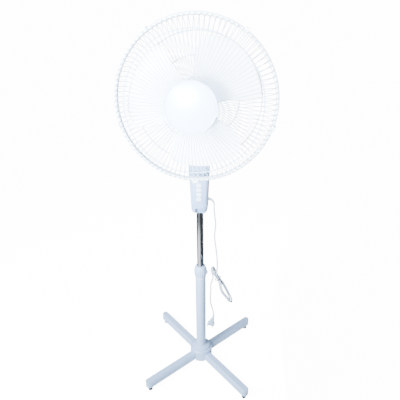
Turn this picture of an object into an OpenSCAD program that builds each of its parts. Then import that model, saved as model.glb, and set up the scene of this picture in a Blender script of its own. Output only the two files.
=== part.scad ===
// Pedestal fan: cross base, telescopic pole, push-button box, tilting and swinging head.
// Millimetres, +Z up, front is -Y, origin on the floor under the pole.

/* [Base] */
// foot circle radius
foot_r = 244; // [200:1:300]
// leg bar width
bar_w = 29; // [20:0.5:40]
// leg bar underside height
bar_z0 = 22; // [6:0.5:26]
// leg bar top height
bar_z1 = 48; // [30:0.5:60]
// hub cover radius
hub_r = 42.5; // [38:0.5:60]

/* [Pole] */
// outer pole radius
pole_r = 18.5; // [14:0.5:24]
// outer pole top height
pole_top = 400; // [300:5:600]
// inner pole radius
inner_r = 12; // [9:0.1:14]
// height collar top
collar_top = 449; // [420:1:480]

/* [Control box] */
// box underside height
box_z0 = 672; // [560:1:760]
// box top height
box_z1 = 850; // [800:1:900]
// box depth
box_d = 56; // [40:1:80]
// push button spacing
button_gap = 16.3; // [14:0.1:24]
// height of the top button's centre
button_top_z = 777; // [740:1:800]

/* [Head] */
// height of the tilt pivot
tilt_z = 948.5; // [930:0.5:980]
// head tilt at rest, nose up, degrees
rest_tilt = 6; // [0:0.5:15]
// fan axis above the tilt pivot
head_h = 96; // [90:1:120]
// guard outer radius
guard_r = 223; // [180:1:240]
// guard rim plane ahead of the neck
rim_s = 97; // [90:1:120]
// wires in each guard
wires = 96; // [24:2:120]
// wire thickness
wire_d = 2.0; // [1.5:0.1:3]
// blade tip radius
blade_r = 178; // [140:1:200]
// centre cap radius
cap_r = 65; // [50:1:80]

/* [Cord] */
// cord thickness
cord_d = 5; // [4:0.1:8]
// distance of the hank ahead of the pole
hank_y = 35; // [30:1:60]

/* [Hidden] */
$fn = 64;
steel = [0.75, 0.76, 0.78];
white = [0.90, 0.94, 0.97];
pale = [0.72, 0.80, 0.88];

// ---------- base ----------
bar_end = foot_r + 2;
bar_mid = 35;
function bar_outline(d) = [[-bar_w/2 + d, bar_z0 - (d > 0 ? 1 : 0)], [bar_w/2 - d, bar_z0 - (d > 0 ? 1 : 0)],
    [bar_w/2 - d, bar_z1 - 5 - d*0.4], [bar_w/2 - 5 - d*0.4, bar_z1 - d],
    [-bar_w/2 + 5 + d*0.4, bar_z1 - d], [-bar_w/2 + d, bar_z1 - 5 - d*0.4]];

module along(u0, u1) { translate([u0, 0, 0]) rotate([90, 0, 90]) linear_extrude(u1 - u0) children(); }

module bar() {
    difference() {
        along(-bar_end, bar_end) polygon(bar_outline(0));
        along(-bar_end - 1, bar_end + 1) polygon(bar_outline(2.2));
        for (s = [-1, 1]) translate([27*s, 0, 40]) cylinder(r = 2.7, h = 10);
    }
}

module base_bar_lower() {
    color(pale) rotate([0, 0, 45]) difference() {
        bar();
        translate([-bar_w/2 - 0.3, -20, bar_mid]) cube([bar_w + 0.6, 40, 30]);
    }
}

module base_bar_upper() {
    color(pale) rotate([0, 0, 135]) difference() {
        bar();
        translate([-bar_w/2 - 0.3, -20, 0]) cube([bar_w + 0.6, 40, bar_mid]);
    }
}

module base_end_caps() {
    color(pale) for (k = [0:3]) rotate([0, 0, 45 + 90*k]) difference() {
        union() {
            intersection() {
                along(bar_end, bar_end + 20) polygon(bar_outline(0));
                translate([bar_end - 0.5, 0, 0]) cylinder(r = bar_w/2, h = 60);
            }
            along(bar_end - 20, bar_end) polygon([[-12.2, bar_z0 + 0.2], [12.2, bar_z0 + 0.2],
                [12.2, bar_z1 - 6.2], [8.5, bar_z1 - 2.4], [-8.5, bar_z1 - 2.4], [-12.2, bar_z1 - 6.2]]);
        }
        translate([foot_r, 0, 0]) cylinder(r = 6.05, h = bar_z0 + 4);
        translate([bar_end + 12, -6, 31]) cube([6, 12, 3]);
    }
}

module rubber_feet() {
    color([0.1, 0.1, 0.11]) for (k = [0:3]) rotate([0, 0, 45 + 90*k]) translate([foot_r, 0, 0]) {
        cylinder(r1 = 7.5, r2 = 8.5, h = 1.5);
        translate([0, 0, 1.5]) cylinder(r = 8.5, h = bar_z0 - 1.5);
        translate([0, 0, bar_z0]) cylinder(r = 6, h = 3.9);
    }
}

module base_screws() {
    color(steel) for (k = [0:3]) rotate([0, 0, 45 + 90*k]) translate([27, 0, 0]) difference() {
        union() {
            translate([0, 0, 36]) cylinder(r = 2.5, h = 16);
            translate([0, 0, 52]) cylinder(r = 4.6, h = 2.8);
        }
        for (a = [0, 90]) rotate([0, 0, a]) translate([-2.6, -0.5, 53.4]) cube([5.2, 1, 2]);
    }
}

module base_nuts() {
    color(steel) for (k = [0:3]) rotate([0, 0, 45 + 90*k]) translate([27, 0, bar_z1 - 6.2]) difference() {
        cylinder(r = 4.6, h = 4, $fn = 6);
        translate([0, 0, -1]) cylinder(r = 2.55, h = 6);
    }
}

module base_cover() {
    color(pale) difference() {
        rotate_extrude() polygon([[hub_r - 2.2, 16], [hub_r, 16], [hub_r, 56], [hub_r - 0.8, 58.6],
            [hub_r - 3, 60.4], [36, 61.6], [34.5, 62.4], [34.5, 66], [33.4, 67.2], [18.8, 75],
            [18.8, 72.6], [32.3, 65.2], [32.3, 60.8], [39.4, 58.2], [40.3, 56]]);
        for (k = [0:3]) rotate([0, 0, 45 + 90*k]) translate([20, -bar_w/2 - 0.2, 0])
            cube([40, bar_w + 0.4, bar_z1]);
    }
}

module pole_flange() {
    color(steel) difference() {
        union() {
            translate([0, 0, bar_z1]) cylinder(r = 36, h = 4);
            translate([0, 0, bar_z1]) cylinder(r = 16.85, h = 40);
        }
        translate([0, 0, bar_z1 - 1]) cylinder(r = 12, h = 42);
        for (k = [0:3]) rotate([0, 0, 45 + 90*k]) translate([27, 0, 40]) cylinder(r = 2.7, h = 20);
    }
}

// ---------- pole ----------
module outer_pole() {
    color(pale) difference() {
        translate([0, 0, bar_z1 + 4]) cylinder(r = pole_r, h = pole_top - bar_z1 - 4);
        translate([0, 0, bar_z1 + 3]) cylinder(r = pole_r - 1.6, h = pole_top);
    }
}

module pole_bushing() {
    color(white) difference() {
        union() {
            translate([0, 0, pole_top - 38]) cylinder(r = pole_r - 1.65, h = 38);
            translate([0, 0, pole_top]) cylinder(r = pole_r, h = 4);
            translate([0, 0, pole_top + 4]) cylinder(r = 15, h = 36);
        }
        translate([0, 0, pole_top - 39]) cylinder(r = inner_r + 0.1, h = 90);
        for (a = [0, 90]) rotate([0, 0, a + 45]) translate([-20, -0.8, pole_top + 12]) cube([40, 1.6, 30]);
    }
}

module height_collar() {
    z0 = pole_top + 4.1;
    color(pale) difference() {
        union() {
            rotate_extrude() polygon([[0, z0], [19.2, z0], [21, z0 + 8], [22.5, z0 + 14], [22.5, z0 + 22],
                [21.3, z0 + 30], [18.6, z0 + 38], [17, collar_top], [0, collar_top]]);
            translate([14, 0, z0 + 18]) rotate([0, 90, 0]) cylinder(r = 6, h = 12);
        }
        translate([0, 0, z0 - 1]) cylinder(r = 15.06, h = 39);
        translate([0, 0, z0]) cylinder(r = inner_r + 0.4, h = 60);
        for (k = [0:17]) rotate([0, 0, k*20 + 10]) translate([23.9, 0, z0 + 4]) cylinder(r = 2, h = 28);
    }
}

module inner_pole() {
    color(steel) difference() {
        translate([0, 0, 240]) cylinder(r = inner_r, h = box_z0 + 37 - 240);
        translate([0, 0, 239]) cylinder(r = inner_r - 1, h = 500);
    }
}

module inner_pole_glide() {
    color(white) difference() {
        translate([0, 0, 232]) cylinder(r = pole_r - 1.7, h = 24);
        translate([0, 0, 240]) cylinder(r = inner_r, h = 20);
        translate([0, 0, 230]) cylinder(r = 8, h = 20);
    }
}

module pole_socket() {
    color([0.35, 0.40, 0.48]) difference() {
        translate([0, 0, box_z0 + 2]) cylinder(r = 15.5, h = 40);
        translate([0, 0, box_z0]) cylinder(r = inner_r, h = 37);
    }
}

// ---------- control box ----------
function half_w(z) = 26.35 + (z - box_z0 - 12)*0.0418;
function side_pts(d) = [[15 - d, box_z0 + d], [19.5 - d, box_z0 + 1.2 + d], [22.8 - d, box_z0 + 3.8 + d],
    [25 - d, box_z0 + 7.5 + d], [half_w(box_z0 + 12) - d, box_z0 + 12 + d],
    [half_w(box_z1 - 9) - d, box_z1 - 9 - d],
    [half_w(box_z1) - 1 - d, box_z1 - 4.5 - d], [half_w(box_z1) - 3.4 - d, box_z1 - 1.4 - d],
    [half_w(box_z1) - 7.4 - d, box_z1 - d]];
function box_outline(d) = concat(side_pts(d), [for (i = [8:-1:0]) [-side_pts(d)[i][0], side_pts(d)[i][1]]]);
wall = 2.4;
screw_at = [[20.5, 704], [-20.5, 704], [24.5, 814], [-24.5, 814]];
module in_y(y0, y1) { translate([0, y1, 0]) rotate([90, 0, 0]) linear_extrude(y1 - y0) children(); }

module control_box_front() {
    color(pale) difference() {
        union() {
            difference() {
                in_y(-box_d/2, 0) polygon(box_outline(0));
                in_y(-box_d/2 + wall, 1) polygon(box_outline(wall));
            }
            for (p = screw_at) in_y(-box_d/2 + 1, 0) translate(p) circle(r = 4);
        }
        for (p = screw_at) in_y(-10, 1) translate(p) circle(r = 1.8);
        for (k = [0:3]) translate([-9.8, -box_d/2 - 1, button_top_z - k*button_gap - 7.3])
            cube([19.6, 5, 14.6]);
        translate([-14.75, -box_d/2 - 1, box_z0 - 1]) cube([29.5, 5, 24]);
        translate([0, 0, box_z0 - 1]) cylinder(r = 15.6, h = 10);
        translate([0, 0, box_z1 - 4]) cylinder(r = 19.2, h = 10);
        translate([20, -5, 720]) rotate([0, 90, 0]) cylinder(r = 4.6, h = 20);
    }
}

module control_box_rear() {
    color(pale) difference() {
        union() {
            difference() {
                in_y(0, box_d/2) polygon(box_outline(0));
                in_y(-1, box_d/2 - wall) polygon(box_outline(wall));
            }
            for (p = screw_at) in_y(0, box_d/2 - 1) translate(p) circle(r = 4);
        }
        for (p = screw_at) {
            in_y(-1, box_d/2 + 1) translate(p) circle(r = 1.9);
            in_y(box_d/2 - 2, box_d/2 + 1) translate(p) circle(r = 3.6);
        }
        translate([0, 0, box_z0 - 1]) cylinder(r = 15.6, h = 10);
        translate([0, 0, box_z1 - 4]) cylinder(r = 19.2, h = 10);
        translate([20, -5, 720]) rotate([0, 90, 0]) cylinder(r = 4.6, h = 20);
    }
}

module box_screws() {
    color(steel) for (p = screw_at) {
        in_y(-9, box_d/2 - 2) translate(p) circle(r = 1.8);
        in_y(box_d/2 - 2, box_d/2) translate(p) circle(r = 3.4);
    }
}

module switch_block() {
    color([0.12, 0.12, 0.13]) difference() {
        translate([-12, -17, 718]) cube([24, 21, 70]);
        for (k = [0:3]) translate([-4.2, -18, button_top_z - k*button_gap - 4.2]) cube([8.4, 9, 8.4]);
    }
}

module motor_capacitor() {
    color(white) difference() {
        translate([-16, 7, 742]) cube([32, 16, 44]);
        for (s = [-1, 1]) translate([8*s, 15, 784]) cylinder(r = 1.5, h = 4);
    }
}

module button(k) {
    z = button_top_z - k*button_gap;
    intersection() {
        translate([-9.5, -31.5, z - 7]) cube([19, 7.5, 14]);
        translate([0, -17.5, z]) rotate([0, 90, 0]) cylinder(r = 14, h = 30, center = true);
    }
    translate([-4, -24.5, z - 4]) cube([8, 9.5, 8]);
}
module button_off() { color(pale) button(0); }
module button_low() { color(pale) button(1); }
module button_medium() { color(pale) button(2); }
module button_high() { color(pale) button(3); }

// ---------- cord ----------
module strain_relief() {
    color([0.62, 0.66, 0.72]) translate([23, -5, 720]) rotate([0, 90, 0]) {
        cylinder(r = 6.2, h = 1.6);
        cylinder(r = 4.5, h = 6.4);
        translate([0, 0, 6]) cylinder(r1 = 4.9, r2 = 3.2, h = 10);
    }
}

sides = 8;
function ring(p, q, r) = let (d = q - p, n = norm(d), t = d/n, u0 = cross(t, [0, 1, 0.001]),
    u = u0/norm(u0), v = cross(t, u)) [for (i = [0:sides-1]) p + r*cos(i*360/sides)*u + r*sin(i*360/sides)*v];
module tube(path, r) {
    n = len(path);
    function dir(i) = i == 0 ? path[1] - path[0] : i == n-1 ? path[n-1] - path[n-2] : path[i+1] - path[i-1];
    pts = [for (i = [0:n-1]) each ring(path[i], path[i] + dir(i), r)];
    skin = [for (i = [0:n-2], k = [0:sides-1]) each
        [[i*sides + k, i*sides + (k+1)%sides, (i+1)*sides + (k+1)%sides],
         [i*sides + k, (i+1)*sides + (k+1)%sides, (i+1)*sides + k]]];
    lids = [[for (k = [sides-1:-1:0]) k], [for (k = [0:sides-1]) (n-1)*sides + k]];
    polyhedron(points = pts, faces = concat(lids, skin));
}

// upper run: out of the box, down past the pole and into the hank
cord_a = [[39, -5, 720], [41.5, -5, 719], [43.5, -5, 716], [44.5, -6, 712], [45, -6, 706], [45, -7, 698],
    [46, -8, 686], [48, -8, 672], [50, -9, 658], [52, -10, 644], [53, -12, 630], [53, -13, 616],
    [51, -14, 602], [50, -16, 586], [51, -17, 572], [53, -18, 558], [55, -20, 544], [57, -22, 530],
    [59, -25, 516], [60.5, -29, 502], [61.5, -33.5, 490], [62, -38, 479], [62, -42.5, 469],
    [61, -46.5, 459], [59.8, -49, 451]];
// free end: out of the hank, down to the plug
cord_b = [[53, -49.8, 446], [50.5, -50, 440], [48.3, -50, 432], [45, -49.3, 422.5], [42, -48.3, 412.5],
    [40.3, -47, 401.5], [40.6, -46, 388.5], [41, -45, 376], [40, -45, 362], [39, -45, 348],
    [39, -45, 334], [40, -45, 320], [43, -45, 308],
    [46, -45, 296], [49, -45, 284], [51, -45, 272], [52, -45, 262]];

module cord_upper() { color([0.70, 0.73, 0.78]) tube(cord_a, cord_d/2); }
module cord_lower() { color([0.70, 0.73, 0.78]) tube(cord_b, cord_d/2); }

hank_a = [43, 471];
hank_b = [114, 322];
hank_tilt = atan2(hank_b[0] - hank_a[0], hank_a[1] - hank_b[1]);
hank_len = norm(hank_b - hank_a);
hank_r = 17.5;
module at_hank() { translate([hank_a[0], -hank_y, hank_a[1]]) rotate([0, -hank_tilt, 0]) children(); }
module hank_outline(r) {
    for (z = [-hank_r, hank_r - hank_len]) translate([0, z]) circle(r = r);
    translate([-r, hank_r - hank_len]) square([2*r, hank_len - 2*hank_r]);
}

module cord_hank() {
    color([0.68, 0.72, 0.78]) at_hank() translate([-5.5, 0, 0]) rotate([0, 90, 0]) rotate([0, 0, 90])
        linear_extrude(11) difference() { hank_outline(hank_r); hank_outline(hank_r - 5.6); }
}

module cord_tie() {
    color([0.25, 0.27, 0.30]) at_hank() translate([0, 0, -52]) difference() {
        translate([-6.8, -19, -5]) cube([13.6, 38, 10]);
        translate([-5.55, -17.55, -6]) cube([11.1, 35.1, 12]);
    }
}

plug_lean = 14;
module at_plug() { translate([52, -45, 262]) rotate([0, plug_lean, 0]) children(); }
module plug_body() {
    color([0.72, 0.77, 0.84]) at_plug() {
        translate([0, 0, -20]) cylinder(r1 = 5, r2 = 3.2, h = 20);
        difference() {
            union() {
                translate([-8, -6, -34]) cube([16, 12, 16]);
                translate([-13.5, -7, -48]) cube([27, 14, 16]);
            }
            for (s = [-1, 1]) {
                translate([9.5*s, 0, -60]) cylinder(r = 2, h = 18);
                translate([s*19, -8, -32]) rotate([0, 45, 0]) translate([-8, 0, -8]) cube([8, 16, 8]);
            }
        }
    }
}
module plug_pins() {
    color(steel) at_plug() for (s = [-1, 1]) translate([9.5*s, 0, -60]) cylinder(r = 2, h = 18);
}

// ---------- neck ----------
module at_neck() { translate([0, 0, tilt_z]) rotate([-rest_tilt, 0, 0]) children(); }
module at_head() { at_neck() translate([0, 0, head_h]) children(); }
module on_axis() { at_head() rotate([90, 0, 0]) children(); }
module across(x0, x1) { translate([x0, 0, 0]) rotate([0, 90, 0]) children(); }

module neck_column() {
    color(pale) difference() {
        union() {
            translate([0, 0, box_z1 - 10]) cylinder(r = 24, h = 5);
            translate([0, 0, box_z1 - 10]) cylinder(r = 19, h = 85);
            for (s = [-1, 1]) {
                translate([s*13.15 - 3.85, -13.5, 915]) cube([7.7, 27, tilt_z - 915]);
                translate([s*13.15 - 3.85, 0, tilt_z]) rotate([0, 90, 0]) cylinder(r = 13.5, h = 7.7);
            }
        }
        translate([0, 0, box_z1 - 11]) cylinder(r = 16, h = 76);
        translate([-30, 0, tilt_z]) rotate([0, 90, 0]) cylinder(r = 3.05, h = 60);
    }
}

module tilt_bolt() {
    color(steel) translate([0, 0, tilt_z]) {
        across(-17, 0) cylinder(r = 3, h = 38);
        across(-20.5, 0) cylinder(r = 5.5, h = 3.5, $fn = 6);
    }
}

module tilt_knob() {
    color(pale) translate([0, 0, tilt_z]) difference() {
        union() {
            across(17.1, 0) cylinder(r = 6, h = 4);
            across(21.1, 0) cylinder(r = 13, h = 12);
        }
        for (k = [0:7]) rotate([k*45, 0, 0]) translate([20, 0, 15.5]) rotate([0, 90, 0])
            cylinder(r = 4, h = 14);
        across(16, 0) cylinder(r = 3.06, h = 13);
    }
}

module tilt_neck() {
    color(pale) at_neck() difference() {
        union() {
            across(-9, 0) cylinder(r = 13, h = 18);
            translate([-9, -11, 0]) cube([18, 22, 18]);
            translate([0, 0, 16]) cylinder(r = 18, h = 16);
        }
        across(-10, 0) cylinder(r = 3.05, h = 20);
        translate([0, 0, 17]) cylinder(r = 5.05, h = 20);
    }
}

// ---------- head: motor and gears ----------
module motor_yoke() {
    color(steel) at_head() {
        translate([0, 0, -63.7]) cylinder(r = 13, h = 16);
        translate([0, 0, -78.5]) cylinder(r = 5, h = 20);
        translate([-18, -24.5, -50]) cube([36, 58.5, 4]);
    }
}

module motor_front_bracket() {
    color(steel) on_axis() difference() {
        union() {
            translate([0, 0, 24.5]) cylinder(r = 50, h = 5);
            translate([0, 0, 24.5]) cylinder(r = 17, h = 22);
        }
        translate([0, 0, 20]) cylinder(r = 7.5, h = 27.5);
        for (k = [0:5]) rotate([0, 0, k*60 + 30]) translate([34, 0, 20]) cylinder(r = 8, h = 12);
    }
}

module stator_core() {
    color([0.45, 0.45, 0.47]) on_axis() difference() {
        intersection() {
            translate([-44, -44, -14]) cube([88, 88, 28]);
            translate([0, 0, -20]) cylinder(r = 54, h = 40);
        }
        translate([0, 0, -20]) cylinder(r = 27, h = 40);
    }
}

module stator_windings() {
    color([0.72, 0.40, 0.20]) on_axis() for (z = [-23.8, 14]) translate([0, 0, z])
        difference() { cylinder(r = 42, h = 9.8); translate([0, 0, -1]) cylinder(r = 29, h = 12); }
}

module shaft_bushes() {
    color([0.70, 0.55, 0.30]) on_axis() for (z = [38, -34]) translate([0, 0, z])
        difference() { cylinder(r = 7.5, h = 9); translate([0, 0, -1]) cylinder(r = 4.05, h = 12); }
}

module motor_shell_front() {
    color(pale) on_axis() difference() {
        union() {
            cylinder(r = 60, h = 27);
            translate([0, 0, 27]) cylinder(r1 = 60, r2 = 55, h = 5);
        }
        translate([0, 0, -1]) cylinder(r = 57.6, h = 30.8);
        cylinder(r = 17.2, h = 60);
        translate([0, 0, -1]) rotate([90, 0, 0]) translate([0, 0, 40]) cylinder(r = 15, h = 30);
    }
}

module motor_shell_rear() {
    color(pale) on_axis() difference() {
        union() {
            translate([0, 0, -52]) cylinder(r = 60, h = 51.9);
            translate([0, 0, -66]) cylinder(r1 = 50, r2 = 60, h = 14);
            translate([0, 0, -74]) cylinder(r1 = 34, r2 = 50, h = 8);
        }
        translate([0, 0, -51]) cylinder(r = 57.6, h = 60);
        translate([0, 0, -64]) cylinder(r1 = 48.5, r2 = 57.6, h = 13.01);
        translate([0, 0, -71.5]) cylinder(r1 = 33.5, r2 = 48.5, h = 7.51);
        translate([0, 0, -1]) rotate([90, 0, 0]) translate([0, 0, 40]) cylinder(r = 15, h = 30);
        for (k = [-3:3]) translate([k*9 - 1.5, -30, -80]) cube([3, 60, 12]);
        translate([0, 40, -43]) rotate([-90, 0, 0]) cylinder(r = 5, h = 30);
    }
}

module gearbox() {
    color([0.60, 0.62, 0.65]) at_head() difference() {
        translate([-21, 26, -46]) cube([42, 30.5, 68]);
        translate([-18, 31.5, -40]) cube([36, 22.5, 58]);
        rotate([90, 0, 0]) translate([0, 0, -34]) cylinder(r = 7.5, h = 12);
        translate([0, 43, 10]) cylinder(r = 4.1, h = 20);
        translate([0, 43, -60]) cylinder(r = 4.1, h = 30);
    }
}

module oscillation_crank() {
    color(white) at_head() translate([0, 43, 0]) {
        translate([0, 0, -38]) cylinder(r = 10, h = 10);
        translate([0, 0, -50]) cylinder(r = 4, h = 13);
        translate([0, 0, -52.5]) cylinder(r = 8, h = 3);
    }
}

module oscillation_knob() {
    color(pale) at_head() translate([0, 43, 0]) {
        translate([0, 0, 6]) cylinder(r = 4, h = 66);
        translate([0, 0, 72]) cylinder(r1 = 8, r2 = 7, h = 12);
    }
}

module rotor_core() {
    color([0.5, 0.5, 0.52]) on_axis() difference() {
        translate([0, 0, -15]) cylinder(r = 26.5, h = 30);
        translate([0, 0, -16]) cylinder(r = 4, h = 32);
    }
}

module rotor_shaft() {
    color(steel) on_axis() {
        translate([0, 0, -50]) cylinder(r = 4, h = 202);
        translate([0, 0, -49.8]) cylinder(r = 4.4, h = 8);
    }
}

// ---------- head: guards ----------
tube_r = 4.5;
ring_r = guard_r - tube_r;
cap_top = 203.4;
// each front wire is two arcs: a tight bend by the rim and a shallow sweep to the middle
module front_wire() {
    translate([168, 0, 105]) rotate([90, -2.2, 0]) rotate_extrude(angle = 57.8) translate([50, 0])
        circle(d = wire_d);
    translate([-1.3, 0, -188.2]) rotate([90, -60.05, 0]) rotate_extrude(angle = 20.4) translate([388.6, 0])
        circle(d = wire_d);
}
module front_guard() {
    color(white) on_axis() {
        for (k = [0:wires-1]) rotate([0, 0, k*360/wires]) front_wire();
        rotate_extrude() translate([ring_r, rim_s + 5]) circle(r = tube_r);
        rotate_extrude() translate([183, 151]) circle(r = 1.5);
        translate([0, 0, 192.9]) difference() {
            cylinder(r = 58, h = 3.5);
            translate([0, 0, -1]) cylinder(r = 20, h = 5);
        }
    }
}

module guard_cap() {
    color(pale) on_axis() difference() {
        union() {
            translate([0, 0, 196.5]) cylinder(r = cap_r + 1.5, h = 2);
            intersection() {
                translate([0, 0, 197]) cylinder(r = cap_r, h = 20);
                translate([0, 0, cap_top - 350]) sphere(r = 350, $fn = 400);
            }
        }
        translate([0, 0, 195]) cylinder(r = cap_r - 10, h = 3);
    }
}

module rear_wire() {
    translate([178.5, 0, 88]) rotate([90, 82, 0]) rotate_extrude(angle = 81) translate([37, 0])
        circle(d = wire_d);
    translate([178.5 + 37*cos(82), 0, 88 - 37*sin(82)]) rotate([0, -90 - 8, 0]) translate([0, 0, 0.05])
        cylinder(d = wire_d, h = 124.2);
}
module rear_guard() {
    color(white) on_axis() {
        for (k = [0:wires-1]) rotate([0, 0, (k + 0.5)*360/wires]) rear_wire();
        rotate_extrude() translate([ring_r, rim_s - 5]) circle(r = tube_r);
        rotate_extrude() translate([180, 48.1]) circle(r = 1.5);
        rotate_extrude() translate([118, 39.35]) circle(r = 1.5);
        translate([0, 0, 32.4]) difference() {
            cylinder(r = 60, h = 2);
            translate([0, 0, -1]) cylinder(r = 17.3, h = 5);
        }
    }
}

module guard_nut() {
    color(pale) on_axis() translate([0, 0, 34.6]) difference() {
        cylinder(r = 30, h = 9);
        translate([0, 0, -1]) cylinder(r = 17.05, h = 12);
        for (k = [0:11]) rotate([0, 0, k*30]) translate([32, 0, -1]) cylinder(r = 4, h = 12);
    }
}

module guard_clip(k) {
    g = guard_r + 1;
    color(white) on_axis() rotate([0, 0, -90 + 72*k]) rotate([90, 0, 0]) translate([0, 0, -7]) linear_extrude(14)
        union() {
            polygon([[g, rim_s - 11], [g + 3, rim_s - 11], [g + 3, rim_s + 12.5], [g, rim_s + 12.5]]);
            polygon([[g - 4, rim_s + 10], [g + 3, rim_s + 10], [g + 3, rim_s + 12.5], [g - 3, rim_s + 12.5]]);
            translate([g + 2, rim_s - 11]) circle(r = 2.2);
        }
}
module guard_clip_1() { guard_clip(0); }
module guard_clip_2() { guard_clip(1); }
module guard_clip_3() { guard_clip(2); }
module guard_clip_4() { guard_clip(3); }
module guard_clip_5() { guard_clip(4); }

// ---------- impeller ----------
hub_s0 = 72; hub_s1 = 140;
root_r = 27;
nr = 10; nt = 8;
function u_r(i) = root_r + (blade_r - root_r)*sin(90*i/nr);
function round_off(r, c) = r < blade_r - c ? 0 : (c - sqrt(max(0, c*c - pow(r - blade_r + c, 2))))/r*180/PI;
function a0(r) = 2 + round_off(r, 24);
function a1(r) = 93 - 7*(r - root_r)/(blade_r - root_r) - round_off(r, 55);
function blade_s(r, f) = 115 + (f - 0.5)*(50 - 8*r/blade_r) - 7*sin(180*f);
function blade_pt(i, j, t) = let (r = u_r(i), f = j/nt, a = a0(r) + (a1(r) - a0(r))*f)
    [r*cos(a), r*sin(a), blade_s(r, f) + t];
module blade() {
    w = nt + 1; m = (nr + 1)*w;
    pts = concat([for (i = [0:nr], j = [0:nt]) blade_pt(i, j, 1)],
        [for (i = [0:nr], j = [0:nt]) blade_pt(i, j, -1)]);
    top = [for (i = [0:nr-1], j = [0:nt-1]) each
        [[i*w+j, (i+1)*w+j+1, (i+1)*w+j], [i*w+j, i*w+j+1, (i+1)*w+j+1]]];
    bot = [for (f = top) [f[0] + m, f[2] + m, f[1] + m]];
    e1 = [for (j = [0:nt-1]) each [[j, m+j, m+j+1], [j, m+j+1, j+1],
        [nr*w+j, nr*w+j+1, m+nr*w+j+1], [nr*w+j, m+nr*w+j+1, m+nr*w+j]]];
    e2 = [for (i = [0:nr-1]) each [[i*w, (i+1)*w, m+(i+1)*w], [i*w, m+(i+1)*w, m+i*w],
        [i*w+nt, m+i*w+nt, m+(i+1)*w+nt], [i*w+nt, m+(i+1)*w+nt, (i+1)*w+nt]]];
    polyhedron(points = pts, faces = concat(top, bot, e1, e2));
}

module impeller() {
    color([0.95, 0.97, 1]) on_axis() {
        difference() {
            translate([0, 0, hub_s0]) cylinder(r = 31, h = hub_s1 - hub_s0);
            translate([0, 0, hub_s0 - 1]) difference() {
                cylinder(r = 28.5, h = hub_s1 - hub_s0 - 2);
                cylinder(r = 9, h = hub_s1 - hub_s0 - 2);
            }
            translate([0, 0, hub_s0 - 1]) cylinder(r = 4, h = 80);
        }
        for (k = [0:2]) rotate([0, 0, 120*k]) blade();
    }
}

module spinner_nut() {
    color([0.85, 0.89, 0.94]) on_axis() difference() {
        union() {
            translate([0, 0, hub_s1]) cylinder(r = 15, h = 10);
            translate([0, 0, hub_s1 + 10]) cylinder(r1 = 15, r2 = 9, h = 6);
        }
        translate([0, 0, hub_s1 - 1]) cylinder(r = 4, h = 13.1);
        for (k = [0:5]) rotate([0, 0, k*60]) translate([17, 0, hub_s1 - 1]) cylinder(r = 3.5, h = 14);
    }
}

base_bar_lower();
base_bar_upper();
base_end_caps();
rubber_feet();
base_screws();
base_nuts();
base_cover();
pole_flange();
outer_pole();
pole_bushing();
height_collar();
inner_pole();
inner_pole_glide();
pole_socket();
control_box_front();
control_box_rear();
box_screws();
switch_block();
motor_capacitor();
strain_relief();
cord_upper();
cord_hank();
cord_tie();
cord_lower();
plug_body();
plug_pins();
neck_column();
tilt_bolt();
tilt_knob();
button_off();
button_low();
button_medium();
button_high();
tilt_neck();
motor_yoke();
motor_front_bracket();
stator_core();
stator_windings();
shaft_bushes();
motor_shell_front();
motor_shell_rear();
gearbox();
rear_guard();
guard_nut();
front_guard();
guard_cap();
rotor_core();
rotor_shaft();
impeller();
spinner_nut();
oscillation_crank();
oscillation_knob();
guard_clip_1();
guard_clip_2();
guard_clip_3();
guard_clip_4();
guard_clip_5();
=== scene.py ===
import math
import bmesh
import bpy
from mathutils import Matrix, Vector


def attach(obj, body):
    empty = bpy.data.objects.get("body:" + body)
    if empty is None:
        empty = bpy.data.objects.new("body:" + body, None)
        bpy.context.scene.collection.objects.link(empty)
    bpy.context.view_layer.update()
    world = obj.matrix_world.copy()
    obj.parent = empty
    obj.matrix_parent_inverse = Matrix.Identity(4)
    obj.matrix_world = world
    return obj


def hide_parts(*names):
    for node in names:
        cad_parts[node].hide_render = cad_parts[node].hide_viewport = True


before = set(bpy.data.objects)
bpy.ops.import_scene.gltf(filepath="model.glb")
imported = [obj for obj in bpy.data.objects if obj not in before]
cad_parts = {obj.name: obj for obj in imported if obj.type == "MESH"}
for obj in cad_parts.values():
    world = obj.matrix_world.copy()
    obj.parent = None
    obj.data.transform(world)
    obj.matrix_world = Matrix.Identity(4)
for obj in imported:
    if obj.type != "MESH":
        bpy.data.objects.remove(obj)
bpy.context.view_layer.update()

scene = bpy.context.scene
MM = 0.001

# ------------------------------------------------------------------ camera
CAM_AZ = math.radians(6.2)
CAM_D, CAM_H = 1.1972, 1.3344
CAM_PITCH, CAM_ROLL, CAM_YAW = math.radians(27.507), math.radians(-0.55), math.radians(0.029)
FOCAL_PX, FRAME_PX, SENSOR_MM = 414.07, 400, 36.0
cam_data = bpy.data.cameras.new("camera")
cam_data.sensor_width = SENSOR_MM
cam_data.lens = FOCAL_PX / FRAME_PX * SENSOR_MM
cam = bpy.data.objects.new("camera", cam_data)
scene.collection.objects.link(cam)
scene.camera = cam
turn = Matrix.Rotation(CAM_AZ, 3, "Z")
fw = turn @ Vector((math.sin(CAM_YAW) * math.cos(CAM_PITCH),
                    math.cos(CAM_YAW) * math.cos(CAM_PITCH),
                    -math.sin(CAM_PITCH)))
right = fw.cross(Vector((0, 0, 1))).normalized()
up = right.cross(fw)
r2 = right * math.cos(CAM_ROLL) + up * math.sin(CAM_ROLL)
u2 = up * math.cos(CAM_ROLL) - right * math.sin(CAM_ROLL)
cam.matrix_world = (Matrix.Translation(turn @ Vector((0, -CAM_D, CAM_H)))
                    @ Matrix((r2, u2, -fw)).transposed().to_4x4())
cam_data.clip_start, cam_data.clip_end = 0.05, 150.0


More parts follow.
